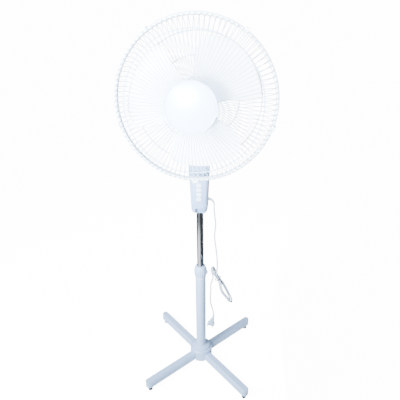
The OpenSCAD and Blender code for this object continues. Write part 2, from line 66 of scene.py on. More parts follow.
# ------------------------------------------------------------------ materials
def material(name, color, rough=0.4, metal=0.0, coat=0.0, spec=0.5, vary=0.03, scale=40.0, bump=0.0,
             subsurface=0.0):
    """A procedural finish: a slow drift in tone and roughness, and a fine grain."""
    m = bpy.data.materials.new(name)
    m.use_nodes = True
    t = m.node_tree
    b = t.nodes["Principled BSDF"]
    coord = t.nodes.new("ShaderNodeTexCoord")
    noise = t.nodes.new("ShaderNodeTexNoise")
    noise.inputs["Scale"].default_value = scale
    noise.inputs["Detail"].default_value = 4.0
    t.links.new(coord.outputs["Object"], noise.inputs["Vector"])
    ramp = t.nodes.new("ShaderNodeValToRGB")
    lo = [c * (1 - vary) for c in color[:3]] + [1]
    hi = [min(1, c * (1 + vary)) for c in color[:3]] + [1]
    ramp.color_ramp.elements[0].position, ramp.color_ramp.elements[0].color = 0.3, lo
    ramp.color_ramp.elements[1].position, ramp.color_ramp.elements[1].color = 0.7, hi
    t.links.new(noise.outputs["Fac"], ramp.inputs["Fac"])
    t.links.new(ramp.outputs["Color"], b.inputs["Base Color"])
    rr = t.nodes.new("ShaderNodeMapRange")
    rr.inputs["To Min"].default_value = max(0.02, rough * 0.88)
    rr.inputs["To Max"].default_value = min(1.0, rough * 1.12)
    t.links.new(noise.outputs["Fac"], rr.inputs["Value"])
    t.links.new(rr.outputs["Result"], b.inputs["Roughness"])
    b.inputs["Metallic"].default_value = metal
    b.inputs["Coat Weight"].default_value = coat
    b.inputs["Coat Roughness"].default_value = 0.12
    b.inputs["Specular IOR Level"].default_value = spec
    if subsurface:
        b.inputs["Subsurface Weight"].default_value = subsurface
        b.inputs["Subsurface Radius"].default_value = (0.004, 0.004, 0.004)
    if bump:
        fine = t.nodes.new("ShaderNodeTexNoise")
        fine.inputs["Scale"].default_value = 1400.0
        fine.inputs["Detail"].default_value = 2.0
        t.links.new(coord.outputs["Object"], fine.inputs["Vector"])
        bn = t.nodes.new("ShaderNodeBump")
        bn.inputs["Strength"].default_value = bump
        bn.inputs["Distance"].default_value = 0.0004
        t.links.new(fine.outputs["Fac"], bn.inputs["Height"])
        t.links.new(bn.outputs["Normal"], b.inputs["Normal"])
    return m


MAT = {
    "paint": material("paint_pale_blue", (0.45, 0.60, 0.86), rough=0.34, coat=0.25, vary=0.02, bump=0.05),
    "wire": material("wire_coating", (0.46, 0.57, 0.74), rough=0.35, coat=0.3, vary=0.02),
    "ring": material("rim_coating", (0.78, 0.86, 0.95), rough=0.32, coat=0.3, vary=0.015),
    "shell": material("shell_plastic", (0.28, 0.41, 0.65), rough=0.38, coat=0.15, vary=0.02, bump=0.08),
    "cap": material("cap_plastic", (0.50, 0.62, 0.84), rough=0.30, coat=0.3, vary=0.012),
    "blade": material("blade_plastic", (0.93, 0.96, 1.0), rough=0.28, coat=0.2, vary=0.01, subsurface=0.1),
    "white": material("white_plastic", (0.84, 0.88, 0.93), rough=0.4, vary=0.02),
    "motor": material("motor_plastic", (0.58, 0.69, 0.84), rough=0.36, coat=0.2, vary=0.02, bump=0.05),
    "button": material("button_plastic", (0.70, 0.80, 0.92), rough=0.32, coat=0.2, vary=0.02),
    "dark": material("dark_plastic", (0.10, 0.13, 0.18), rough=0.45, vary=0.05, bump=0.1),
    "socket": material("socket_plastic", (0.30, 0.42, 0.64), rough=0.45, vary=0.05, bump=0.1),
    "rubber": material("black_rubber", (0.012, 0.013, 0.016), rough=0.7, vary=0.1, bump=0.2),
    "cord": material("cord_sheath", (0.42, 0.49, 0.60), rough=0.45, vary=0.03, bump=0.05),
    "plug": material("plug_plastic", (0.40, 0.50, 0.64), rough=0.4, vary=0.03, bump=0.08),
    "tie": material("tie_plastic", (0.07, 0.08, 0.11), rough=0.4, vary=0.05),
    "chrome": material("chrome_tube", (0.60, 0.58, 0.57), rough=0.07, metal=1.0, vary=0.02, scale=15),
    "steel": material("zinc_steel", (0.55, 0.56, 0.58), rough=0.32, metal=1.0, vary=0.05, bump=0.1),
    "iron": material("lamination_steel", (0.26, 0.27, 0.29), rough=0.45, metal=0.9, vary=0.08, scale=120),
    "alloy": material("die_cast_alloy", (0.50, 0.51, 0.53), rough=0.42, metal=1.0, vary=0.06, bump=0.2),
    "copper": material("copper_winding", (0.62, 0.27, 0.10), rough=0.35, metal=0.9, vary=0.15, scale=160),
    "bronze": material("sintered_bronze", (0.48, 0.32, 0.14), rough=0.5, metal=0.9, vary=0.08),
}

NODE_MAT = {
    "paint": ["base_bar_lower", "base_bar_upper", "base_end_caps", "base_cover", "outer_pole",
              "height_collar"],
    "ring": ["front_guard", "rear_guard"],
    "shell": ["control_box_front", "control_box_rear", "neck_column", "tilt_neck", "tilt_knob"],
    "motor": ["motor_shell_front", "motor_shell_rear", "guard_nut", "oscillation_knob"],
    "cap": ["guard_cap"],
    "blade": ["impeller", "spinner_nut"],
    "white": ["pole_bushing", "inner_pole_glide", "oscillation_crank", "motor_capacitor"]
             + ["guard_clip_%d" % (k + 1) for k in range(5)],
    "button": ["button_off", "button_low", "button_medium", "button_high"],
    "dark": ["switch_block"],
    "socket": ["pole_socket"],
    "rubber": ["rubber_feet"],
    "cord": ["cord_upper", "cord_hank", "cord_lower", "strain_relief"],
    "plug": ["plug_body"],
    "tie": ["cord_tie"],
    "chrome": ["inner_pole"],
    "steel": ["base_screws", "base_nuts", "box_screws", "pole_flange", "plug_pins", "tilt_bolt",
              "motor_yoke", "rotor_shaft"],
    "alloy": ["motor_front_bracket", "gearbox"],
    "iron": ["stator_core", "rotor_core"],
    "copper": ["stator_windings"],
    "bronze": ["shaft_bushes"],
}
for key, names in NODE_MAT.items():
    for n in names:
        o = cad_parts[n]
        o.data.materials.clear()
        o.data.materials.append(MAT[key])


# ------------------------------------------------------------------ helpers
def smooth(obj, angle=40.0):
    """Smooth shading that keeps edges sharper than the angle."""
    me = obj.data
    me.polygons.foreach_set("use_smooth", [True] * len(me.polygons))
    bm = bmesh.new()
    bm.from_mesh(me)
    lim = math.radians(angle)
    for e in bm.edges:
        e.smooth = not (len(e.link_faces) == 2 and e.calc_face_angle(0.0) > lim)
    bm.to_mesh(me)
    bm.free()
    return obj


def make(name, verts, faces, mat, body, replaced=(), angle=40.0, slot=None):
    me = bpy.data.meshes.new(name)
    me.from_pydata([tuple(v) for v in verts], [], faces)
    me.validate()
    bm = bmesh.new()
    bm.from_mesh(me)
    bmesh.ops.recalc_face_normals(bm, faces=bm.faces)
    bm.to_mesh(me)
    bm.free()
    me.materials.append(MAT[mat])
    o = bpy.data.objects.new(name, me)
    scene.collection.objects.link(o)
    smooth(o, angle)
    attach(o, body)
    if replaced:
        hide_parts(*replaced)
    return o


def frames(path, first=None):
    """Rotation-minimising side vectors along a list of points."""
    n = len(path)
    tans = []
    for i in range(n):
        a, b = path[max(0, i - 1)], path[min(n - 1, i + 1)]
        tans.append((b - a).normalized())
    u = first or tans[0].orthogonal().normalized()
    out = []
    for t in tans:
        u = (u - t * u.dot(t)).normalized()
        out.append((t, u, t.cross(u)))
    return out


def tube(path, radius, sides=10, closed=False, cap=True):
    """Vertices and faces of a round tube; radius is a number or one per point."""
    n = len(path)
    rad = radius if isinstance(radius, (list, tuple)) else [radius] * n
    if closed:
        fr = []
        for i in range(n):
            t = (path[(i + 1) % n] - path[i - 1]).normalized()
            fr.append(t)
        u = fr[0].orthogonal().normalized()
        fs = []
        for t in fr:
            u = (u - t * u.dot(t)).normalized()
            fs.append((t, u, t.cross(u)))
    else:
        fs = frames(path)
    verts, faces = [], []
    for (t, u, v), p, r in zip(fs, path, rad):
        for k in range(sides):
            a = 2 * math.pi * k / sides
            verts.append(p + u * (r * math.cos(a)) + v * (r * math.sin(a)))
    last = n if closed else n - 1
    for i in range(last):
        for k in range(sides):
            a, b = i * sides + k, i * sides + (k + 1) % sides
            j = ((i + 1) % n) * sides
            faces.append((a, b, j + (k + 1) % sides, j + k))
    if not closed and cap:
        faces.append(tuple(range(sides - 1, -1, -1)))
        faces.append(tuple((n - 1) * sides + k for k in range(sides)))
    return verts, faces


def join(parts):
    verts, faces = [], []
    for v, f in parts:
        k = len(verts)
        verts += v
        faces += [tuple(i + k for i in g) for g in f]
    return verts, faces


def lathe(profile, sides=128, closed=False, a0=0.0, a1=360.0):
    """Turn (r, z) points about the local Z axis."""
    full = abs(a1 - a0) >= 359.9
    n = sides if full else sides + 1
    verts, faces = [], []
    m = len(profile)
    for k in range(n):
        a = math.radians(a0 + (a1 - a0) * k / sides)
        for r, z in profile:
            verts.append(Vector((r * math.cos(a), r * math.sin(a), z)))
    for k in range(n if full else n - 1):
        k2 = (k + 1) % n
        for i in range(m if closed else m - 1):
            i2 = (i + 1) % m
            faces.append((k * m + i, k2 * m + i, k2 * m + i2, k * m + i2))
    return verts, faces


def mapped(part, matrix):
    return [matrix @ v for v in part[0]], part[1]


def arc(c, r, a0, a1, n):
    """Points of an arc in 2D."""
    return [(c[0] + r * math.cos(math.radians(a0 + (a1 - a0) * i / n)),
             c[1] + r * math.sin(math.radians(a0 + (a1 - a0) * i / n))) for i in range(n + 1)]


def bevel(node, width, segments=2, angle=35.0):
    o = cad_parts[node]
    m = o.modifiers.new("soft_edge", "BEVEL")
    m.width, m.segments, m.limit_method, m.angle_limit = width, segments, "ANGLE", math.radians(angle)
    m.harden_normals = False
    m.use_clamp_overlap = True
    return o


# ------------------------------------------------------------------ cord
CORD_D = 5.0 * MM
GLAND = Vector((28.6, -5, 720))
HANK_TOP, HANK_END = Vector((43, -35, 471)), Vector((114, -35, 322))
HANK_DOWN = (HANK_END - HANK_TOP).normalized()
HANK_SIDE = Vector((-HANK_DOWN.z, 0, HANK_DOWN.x))          # to the right of the run, as seen from the front
HANK_LEN = (HANK_END - HANK_TOP).length
FOLD = 15.0                                                  # radius of the folds, three cord diameters
TIE_D = 52.0                                                 # the tie, down from the top of the hank


def spline(points, step=3.0, rounds=6):
    """Resample a polyline to even steps and ease its corners."""
    out = [points[0].copy()]
    for a, b in zip(points, points[1:]):
        n = max(1, round((b - a).length / step))
        out += [a.lerp(b, (i + 1) / n) for i in range(n)]
    for _ in range(rounds):
        out = ([out[0]]
               + [out[i] * 0.5 + (out[i - 1] + out[i + 1]) * 0.25 for i in range(1, len(out) - 1)]
               + [out[-1]])
    return out


def bump(x, centre, width):
    x = abs(x - centre) / width
    return 0.0 if x >= 1 else 0.5 + 0.5 * math.cos(math.pi * x)


def hank_run(turns=2, enter=30.0):
    """The turns of the hank: down the front, round the lower fold, up the back and over the top."""
    pts, top, total, gone = [], FOLD + CORD_D / MM / 2, None, 0.0
    low = [HANK_LEN - top + e for e in (0.0, -4.0)]
    high = [top + e for e in (0.0, 2.5)]
    sweep = turns * (2 * (HANK_LEN - 2 * top) + 2 * math.pi * FOLD)

    def put(d, y):
        nonlocal gone
        side = 5.4 - 10.8 * gone / sweep
        squeeze = 1 - 0.52 * bump(d, TIE_D, 36.0)
        side += (-7.0 if y < 0 else 1.5) * bump(d, 100.0, 46.0) * min(1.0, abs(y) / FOLD)
        p = HANK_TOP + HANK_DOWN * d + HANK_SIDE * side + Vector((0, y * squeeze, 0))
        if pts:
            gone += 2.5
        pts.append(p)

    d = enter
    for k in range(turns):
        while d < low[k]:
            put(d, -FOLD)
            d += 2.5
        for i in range(1, 19):
            a = math.pi * i / 19
            put(low[k] + FOLD * math.sin(a), -FOLD * math.cos(a))
        d = low[k]
        while d > high[k]:
            put(d, FOLD)
            d -= 2.5
        for i in range(1, 19):
            a = math.pi * i / 19
            put(high[k] - FOLD * math.sin(a), FOLD * math.cos(a))
        d = high[k]
    while d < enter - 4:
        put(d, -FOLD)
        d += 2.5
    return pts


drop = [GLAND + Vector((19 * math.sin(a), 0, -19 + 19 * math.cos(a))) for a in
        [math.radians(x) for x in (0, 18, 36, 54, 72, 86)]]
ROUTE_A = drop + [Vector(p) for p in [
    (47.2, -6.5, 690), (48, -8, 672), (50, -9, 658), (52, -10, 644), (53, -12, 630), (53, -13, 616),
    (51, -14, 602), (50, -16, 586), (51, -17, 572), (53, -18, 558), (55, -20, 544), (57, -22, 530),
    (59, -25, 516), (60.5, -29, 502), (61.5, -33.5, 490), (62, -38, 479), (62, -42.5, 469),
    (61.4, -46.5, 459)]]
ROUTE_B = [Vector(p) for p in [
    (48.3, -50, 432), (45, -49.3, 422.5), (42, -48.3, 412.5), (40.3, -47, 401.5), (40.6, -46, 388.5),
    (41, -45, 376), (40, -45, 362), (39, -45, 348), (39, -45, 334), (40, -45, 320), (43, -45, 308),
    (46, -45, 296), (49, -45, 284), (51, -45, 272), (52, -45, 262)]]
CORD = spline(ROUTE_A + hank_run() + ROUTE_B, rounds=7)
cd = bpy.data.curves.new("power_cord", "CURVE")
cd.dimensions = "3D"
cd.bevel_depth, cd.bevel_resolution, cd.use_fill_caps = CORD_D / 2, 5, True
sp = cd.splines.new("POLY")
sp.points.add(len(CORD) - 1)
for p, q in zip(sp.points, CORD):
    p.co = (*(q * MM), 1.0)
sp.use_smooth = True
power_cord = bpy.data.objects.new("power_cord", cd)
scene.collection.objects.link(power_cord)
cd.materials.append(MAT["cord"])
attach(power_cord, "mast")
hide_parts("cord_upper", "cord_hank", "cord_lower")


def along(path, radii, sides=24):
    """A body of changing radius round a path: radii are (distance, radius) pairs in mm."""
    at, dist = [0.0], 0.0
    for a, b in zip(path, path[1:]):
        dist += (b - a).length
        at.append(dist)
    pts, rad = [], []
    for d, r in radii:
        i = max(j for j in range(len(at)) if at[j] <= d + 1e-9)
        i = min(i, len(path) - 2)
        t = (d - at[i]) / (at[i + 1] - at[i])
        pts.append(path[i].lerp(path[i + 1], t) * MM)
        rad.append(r * MM)
    return tube(pts, rad, sides)


# strain relief: a flange in the box wall and a ribbed sleeve that tapers onto the cord
stem = [GLAND + Vector((-5.5, 0, 0)), GLAND + Vector((-2, 0, 0))] + CORD
rings = [(0.0, 6.1), (1.4, 6.1), (1.41, 4.5), (6.0, 4.5), (6.01, 5.3), (8.0, 5.3), (8.3, 5.1)]
for k in range(6):
    d, r = 9.0 + 3.0 * k, 4.95 - 0.27 * k
    rings += [(d, r), (d + 1.7, r - 0.1), (d + 1.75, r - 0.75), (d + 2.8, r - 0.8)]
rings += [(27.2, 3.4), (29.5, 3.15), (30.3, 2.9), (30.5, 2.55)]
v, f = along(stem, rings)
make("strain_relief_sleeve", v, f, "cord", "mast", ("strain_relief",), angle=35, slot="strain_relief")

# tie: two turns of a plastic-coated wire with its ends twisted together
TIE = HANK_TOP + HANK_DOWN * TIE_D
tie_parts = []
for d in (-1.7, 1.7):
    pts = []
    for i in range(64):
        a = 2 * math.pi * i / 64
        ca, sa = math.cos(a), math.sin(a)
        e = 0.55
        x = 9.2 * math.copysign(abs(ca) ** e, ca) - 0.4
        y = 11.2 * math.copysign(abs(sa) ** e, sa)
        pts.append((TIE + HANK_DOWN * (d + 0.5 * math.sin(a)) + HANK_SIDE * x + Vector((0, y, 0))) * MM)
    tie_parts.append(tube(pts, 0.9 * MM, 10, closed=True))
for s in (0.0, math.pi):
    pts = []
    for i in range(40):
        u = i / 39
        a = s + u * 5 * math.pi
        pts.append((TIE + HANK_DOWN * (-1 - 9 * u) + HANK_SIDE * (8.6 + 0.4 * u + 1.0 * math.cos(a))
                    + Vector((0, -10.5 + 1.0 * math.sin(a) - 1.5 * u, 0))) * MM)
    tie_parts.append(tube(pts, 0.85 * MM, 10))
make("cord_tie_wire", *join(tie_parts), "tie", "mast", ("cord_tie",), angle=60, slot="cord_tie")

# plug: moulded body with a waist, finger grip and ribbed neck, and two round pins
PLUG = Matrix.Translation(Vector((52, -45, 262)) * MM) @ Matrix.Rotation(math.radians(14), 4, "Y")


def superloop(w, d, e, z, n=48):
    out = []
    for i in range(n):
        a = 2 * math.pi * i / n
        ca, sa = math.cos(a), math.sin(a)
        x, y = w * math.copysign(abs(ca) ** e, ca), d * math.copysign(abs(sa) ** e, sa)
        out.append(Vector((x, y, z)) * MM)
    return out


def loft(loops, cap=True):
    n = len(loops[0])
    verts = [p for l in loops for p in l]
    faces = []
    for i in range(len(loops) - 1):
        for k in range(n):
            k2 = (k + 1) % n
            faces.append((i * n + k, i * n + k2, (i + 1) * n + k2, (i + 1) * n + k))
    if cap:
        faces += [tuple(range(n - 1, -1, -1)), tuple((len(loops) - 1) * n + k for k in range(n))]
    return verts, faces


sections = [(2.6, 2.6, 1.0, 1.0), (3.2, 3.2, 1.0, 0.0)]
for k in range(5):
    z, r = -1.0 - 3.2 * k, 3.4 + 0.33 * k
    sections += [(r, r, 1.0, z), (r + 0.25, r + 0.2, 1.0, z - 1.9), (r - 0.45, r - 0.4, 1.0, z - 2.0),
                 (r - 0.4, r - 0.35, 1.0, z - 3.1)]
sections += [(5.2, 4.6, 0.95, -17.2), (6.4, 5.2, 0.8, -19.0), (7.6, 5.8, 0.7, -21.5),
             (8.0, 6.0, 0.66, -25.0), (8.1, 6.0, 0.66, -28.0), (8.8, 6.2, 0.66, -31.0),
             (10.6, 6.6, 0.64, -33.6), (12.6, 6.9, 0.62, -35.6), (13.4, 7.0, 0.62, -37.4),
             (13.5, 7.0, 0.62, -44.0), (13.3, 6.9, 0.62, -46.6), (12.8, 6.5, 0.62, -47.6),
             (11.8, 5.8, 0.62, -48.0)]
body = loft([superloop(w, d, e, z) for w, d, e, z in sections])
ribs = []
for k in range(4):
    for y in (-1, 1):
        z = -23.0 - 2.2 * k
        ribs.append(loft([[Vector((x * taper, y * out, z + dz)) * MM
                           for x, dz in ((-5, -h), (5, -h), (5, h), (-5, h))]
                          for taper, out, h in ((1.0, 5.7, 0.5), (0.9, 6.5, 0.3))]))
make("plug_shell", *mapped(join([body] + ribs), PLUG), "plug", "mast", ("plug_body",), angle=38,
     slot="plug_body")
pins = []
for x in (-9.5, 9.5):
    prof = [(0.0, -42.0), (2.0, -42.0), (2.0, -50.2), (1.95, -50.3), (1.95, -58.6), (1.6, -59.6),
            (0.9, -60.0), (0.0, -60.0)]
    pins.append(mapped(lathe([(r * MM, z * MM) for r, z in prof], 32), Matrix.Translation((x * MM, 0, 0))))
make("plug_pin_pair", *mapped(join(pins), PLUG), "steel", "mast", ("plug_pins",), angle=40,
     slot="plug_pins")

# ------------------------------------------------------------------ head frame
TILT_Z, HEAD_H, REST_TILT = 0.9485, 0.096, math.radians(6)
NECK = Matrix.Translation((0, 0, TILT_Z)) @ Matrix.Rotation(-REST_TILT, 4, "X")
HEAD = NECK @ Matrix.Translation((0, 0, HEAD_H))
AXIS = HEAD @ Matrix.Rotation(math.radians(90), 4, "X")      # local Z is the way the fan blows
WIRES = 96
WIRE_R = 1.0 * MM
RIM_S, RING_R, TUBE_R = 97.0, 218.5, 4.5


def spun(path2d, count, phase, radius, sides=8):
    """The same wire, given as (r, s) points in mm, at equal steps round the fan's axis."""
    parts = []
    for k in range(count):
        a = 2 * math.pi * (k + phase) / count
        pts = [Vector((r * math.cos(a), r * math.sin(a), s)) * MM for r, s in path2d]
        parts.append(tube(pts, radius, sides))
    return join(parts)


def hoop(r, s, radius, n=192, sides=12):
    pts = [Vector((r * math.cos(2 * math.pi * k / n), r * math.sin(2 * math.pi * k / n), s)) * MM
           for k in range(n)]
    return tube(pts, radius, sides, closed=True)


def ring_and_plate(s_ring, plate):
    ring = lathe([(RING_R * MM + TUBE_R * MM * math.cos(t), s_ring * MM + TUBE_R * MM * math.sin(t))
                  for t in [2 * math.pi * i / 20 for i in range(20)]], 256, closed=True)
    return join([ring, lathe([(r * MM, s * MM) for r, s in plate], 128, closed=True)])


# front guard: each wire turns in tightly by the rim, then sweeps over a shallow dome to the plate
front_path = arc((168, 105), 50, 2.2, 60, 14) + arc((-1.3, -188.2), 388.6, 60.6, 80.45, 20)
make("front_guard_wires", *mapped(spun(front_path, WIRES, 0.0, WIRE_R), AXIS), "wire", "head", angle=60,
     slot="front_guard")
make("front_guard_hoop", *mapped(hoop(183, 151.3, 1.5 * MM), AXIS), "wire", "head", angle=60,
     slot="front_guard")
plate = [(20, 192.9), (57.6, 192.9), (58, 193.3), (58, 196.0), (57.6, 196.4), (20, 196.4)]
make("front_guard_ring", *mapped(ring_and_plate(RIM_S + 5, plate), AXIS), "ring", "head", ("front_guard",),
     angle=50, slot="front_guard")

# rear guard: a shallow basket that turns up steeply to the rim
bend = arc((178.5, 88), 37, -1, -82, 18)
ux, us = -math.cos(math.radians(8)), -math.sin(math.radians(8))
x0, s0 = bend[-1]
straight = [(x0 + ux * d, s0 + us * d) for d in (14, 40, 80, 124.3)]
make("rear_guard_wires", *mapped(spun(bend + straight, WIRES, 0.5, WIRE_R), AXIS), "wire", "head", angle=60,
     slot="rear_guard")
make("rear_guard_hoops", *mapped(join([hoop(180, 48.1, 1.5 * MM), hoop(118, 39.4, 1.5 * MM)]), AXIS),
     "wire", "head", angle=60, slot="rear_guard")
plate = [(17.3, 32.4), (59.6, 32.4), (60, 32.8), (60, 34.0), (59.6, 34.4), (17.3, 34.4)]
make("rear_guard_ring", *mapped(ring_and_plate(RIM_S - 5, plate), AXIS), "ring", "head", ("rear_guard",),
     angle=50, slot="rear_guard")

# centre cap: a shallow dome with a thin rolled edge, no mark on it
dome_R, dome_top = 350.0, 203.4
dome = ([(0.0, dome_top)]
        + [(r, dome_top - dome_R + math.sqrt(dome_R ** 2 - r ** 2))
           for r in [4, 9, 15, 21, 27, 33, 39, 45, 50, 54, 57.5, 60.5]])
edge = [(62.3, 197.6), (63.6, 197.0), (64.4, 197.4), (65.2, 198.1), (66.0, 198.4), (66.5, 197.9),
        (66.5, 197.1), (66.1, 196.5), (57, 196.5), (56, 197.0), (55, 197.6), (30, 200.0), (0.0, 201.4)]
make("centre_cap_shell", *mapped(lathe([(r * MM, s * MM) for r, s in dome + edge], 192), AXIS),
     "cap", "head", ("guard_cap",), angle=30, slot="guard_cap")

# ------------------------------------------------------------------ impeller
ROOT_R, BLADE_R = 27.0, 178.0


def round_off(r, c):
    return (0.0 if r < BLADE_R - c
            else math.degrees((c - math.sqrt(max(0.0, c * c - (r - BLADE_R + c) ** 2))) / r))


def blade_a0(r):
    return 2 + round_off(r, 24)


def blade_a1(r):
    return 93 - 7 * (r - ROOT_R) / (BLADE_R - ROOT_R) - round_off(r, 55)


def blade_s(r, f):
    return 115 + (f - 0.5) * (50 - 8 * r / BLADE_R) - 7 * math.sin(math.pi * f)


def blade(turn_deg):
    nr, nt, th = 44, 36, 0.9
    rows = []
    for side in (1, -1):
        for i in range(nr + 1):
            r = ROOT_R + (BLADE_R - ROOT_R) * math.sin(math.pi / 2 * i / nr)
            for j in range(nt + 1):
                fj = j / nt
                a = math.radians(blade_a0(r) + (blade_a1(r) - blade_a0(r)) * fj + turn_deg)
                edge_t = min(1.0, 0.35 + 2.6 * min(fj, 1 - fj, (1 - i / nr) * 1.5))
                rows.append(Vector((r * math.cos(a), r * math.sin(a),
                                    blade_s(r, fj) + side * th * edge_t)) * MM)
    w, m = nt + 1, (nr + 1) * (nt + 1)
    faces = []
    for i in range(nr):
        for j in range(nt):
            a = i * w + j
            faces.append((a, a + 1, a + w + 1, a + w))
            faces.append((m + a, m + a + w, m + a + w + 1, m + a + 1))
    for j in range(nt):
        faces += [(j, m + j, m + j + 1, j + 1),
                  (nr * w + j, nr * w + j + 1, m + nr * w + j + 1, m + nr * w + j)]
    for i in range(nr):
        a, b = i * w, (i + 1) * w
        faces += [(a, b, m + b, m + a), (a + nt, m + a + nt, m + b + nt, b + nt)]
    return rows, faces


HUB = [(4.0, 72.0), (9.0, 72.0), (9.0, 137.0), (28.5, 137.0), (28.5, 72.0), (31.0, 72.0), (31.0, 136.0),
       (30.6, 138.2), (29.4, 139.6), (27.5, 140.0), (4.0, 140.0)]
hub = lathe([(r * MM, s * MM) for r, s in HUB], 96, closed=True)
make("impeller_blades", *mapped(join([hub] + [blade(120 * k) for k in range(3)]), AXIS), "blade", "rotor",
     ("impeller",), angle=45, slot="impeller")

# ------------------------------------------------------------------ control box
def solid(name, part, mat="shell"):
    """A closed helper mesh for cutting or joining; it isn't part of the model."""
    me = bpy.data.meshes.new(name)
    me.from_pydata([tuple(v) for v in part[0]], [], part[1])
    bm = bmesh.new()
    bm.from_mesh(me)
    bmesh.ops.recalc_face_normals(bm, faces=bm.faces)
    bm.to_mesh(me)
    bm.free()
    me.materials.append(MAT[mat])
    o = bpy.data.objects.new(name, me)
    scene.collection.objects.link(o)
    return o


def carve(base, cutters, joins=(), limit=30.0, after=()):
    """Apply exact booleans in turn, then drop the helpers."""
    for op, objs in (("UNION", joins), ("DIFFERENCE", cutters), ("UNION", after)):
        for c in objs:
            m = base.modifiers.new("cut", "BOOLEAN")
            m.operation, m.solver, m.object = op, "EXACT", c
    dg = bpy.context.evaluated_depsgraph_get()
    me = bpy.data.meshes.new_from_object(base.evaluated_get(dg))
    base.modifiers.clear()
    base.data = me
    for c in list(cutters) + list(joins) + list(after):
        bpy.data.objects.remove(c)
    smooth(base, limit)
    return base


def finish_piece(o, body, replaced):
    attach(o, body)
    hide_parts(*replaced)


BOX_Z0, BOX_Z1, BOX_D = 672.0, 850.0, 28.0
EDGE_Z = [(15.0, 672.0), (17.6, 672.3), (19.8, 673.1), (21.6, 674.4), (23.2, 676.2), (24.5, 678.5),
          (25.5, 681.2), (26.35, 684.5), (27.4, 710), (28.6, 738), (29.8, 766), (31.0, 794), (32.2, 822),
          (32.9, 839), (32.6, 843.5), (31.4, 847.0), (29.2, 849.3), (26.4, 850.0)]


def box_section(w, depth, r, z, sign, inset=0.0, n=8):
    w, depth, r = w - inset, depth - inset, max(1.0, r - inset * 0.6)
    pts = [(w, 0.0 if inset == 0 else 1.0)]
    for i in range(n + 1):
        a = math.pi / 2 * i / n
        pts.append((w - r + r * math.cos(a), -(depth - r) - r * math.sin(a)))
    mid = [(x, y) for x, y in pts]
    crown = [(x * (w - r) / 10, -depth - 0.55 * (1 - (x / 10) ** 2)) for x in (8, 5, 2)]
    left = [(-x, y) for x, y in reversed(mid)]
    line = mid + crown + [(0.0, -depth - 0.55)] + [(-x, y) for x, y in reversed(crown)] + left
    return [Vector((x, sign * -y if sign > 0 else y, z)) * MM for x, y in line]


def box_half(sign, inset=0.0):
    loops = []
    for w, z in EDGE_Z:
        t = min(1.0, (w - 15.0) / 11.35)
        depth = 27.4 - 7.0 * (1 - t)
        zz = z
        if inset:
            zz = BOX_Z0 + inset + (z - BOX_Z0) * (BOX_Z1 - BOX_Z0 - 2 * inset) / (BOX_Z1 - BOX_Z0)
        loops.append(box_section(w, depth, 14.0, zz, sign, inset))
    return loft(loops)


def block(x0, x1, y0, y1, z0, z1, r=0.0, n=6):
    """A bar along Y with rounded corners in the XZ plane."""
    if r <= 0:
        loop = [(x1, z1), (x0, z1), (x0, z0), (x1, z0)]
    else:
        loop = []
        for cx, cz, a in ((x1 - r, z1 - r, 0), (x0 + r, z1 - r, 90),
                          (x0 + r, z0 + r, 180), (x1 - r, z0 + r, 270)):
            loop += arc((cx, cz), r, a, a + 90, n)
    return loft([[Vector((x, y, z)) * MM for x, z in loop] for y in (y0, y1)])


def rod(p, q, r, sides=32):
    return tube([Vector(p) * MM, Vector(q) * MM], r * MM, sides)


BUTTON_Z = [777.0 - 16.3 * k for k in range(4)]
SCREW_AT = [(20.5, 704), (-20.5, 704), (24.5, 814), (-24.5, 814)]
bores = [((0, 0, 660), (0, 0, 681), 15.6), ((0, 0, 846), (0, 0, 860), 19.3),
         ((20, -5, 720), (40, -5, 720), 4.6)]
front = solid("control_box_face", box_half(-1))
cuts = [solid("c_in", box_half(-1, 2.3))]
cuts += [solid("c_bore%d" % i, rod(*b)) for i, b in enumerate(bores)]
cuts += [solid("c_win%d" % k, block(-9.9, 9.9, -40, -24, z - 7.4, z + 7.4, 7.2))
         for k, z in enumerate(BUTTON_Z)]
cuts.append(solid("c_foot", block(-12, 12, -40, -16.8, 660, 694, 3.0)))
cuts.append(solid("c_line", block(-40, 40, -0.35, 2, 600, 900)))
posts = [solid("c_post%d" % k, rod((x, -25, z), (x, -0.4, z), 4.0)) for k, (x, z) in enumerate(SCREW_AT)]


def window_outline(y, g):
    """The rounded outline round all four button windows, drawn in by g."""
    corners = ((7.2 - g, 787.2 - g, 0), (-7.2 + g, 787.2 - g, 90), (-7.2 + g, 718.2 + g, 180),
               (7.2 - g, 718.2 + g, 270))
    return [Vector((x, y, z)) * MM for cx, cz, a in corners for x, z in arc((cx, cz), 6.0, a, a + 90, 8)]


# a raised surround joins the four button windows
surround = solid("c_surround", loft([window_outline(y, g)
                                     for y, g in ((-26.0, 0.0), (-28.7, 0.0), (-29.2, 0.5))]))
carve(front, cuts, [surround], 32.0, posts)
finish_piece(front, "mast", ("control_box_front",))
rear = solid("control_box_back", box_half(1))
cuts = [solid("c_in", box_half(1, 2.3))]
cuts += [solid("c_bore%d" % i, rod(*b)) for i, b in enumerate(bores)]
cuts += [solid("c_sink%d" % k, rod((x, 25.6, z), (x, 33, z), 3.7)) for k, (x, z) in enumerate(SCREW_AT)]
cuts += [solid("c_slot%d" % k, block(-11, 11, 20, 40, 742 + 7 * k, 744.6 + 7 * k, 1.2)) for k in range(6)]
cuts.append(solid("c_line", block(-40, 40, -2, 0.35, 600, 900)))
carve(rear, cuts, (), 32.0)
finish_piece(rear, "mast", ("control_box_rear",))

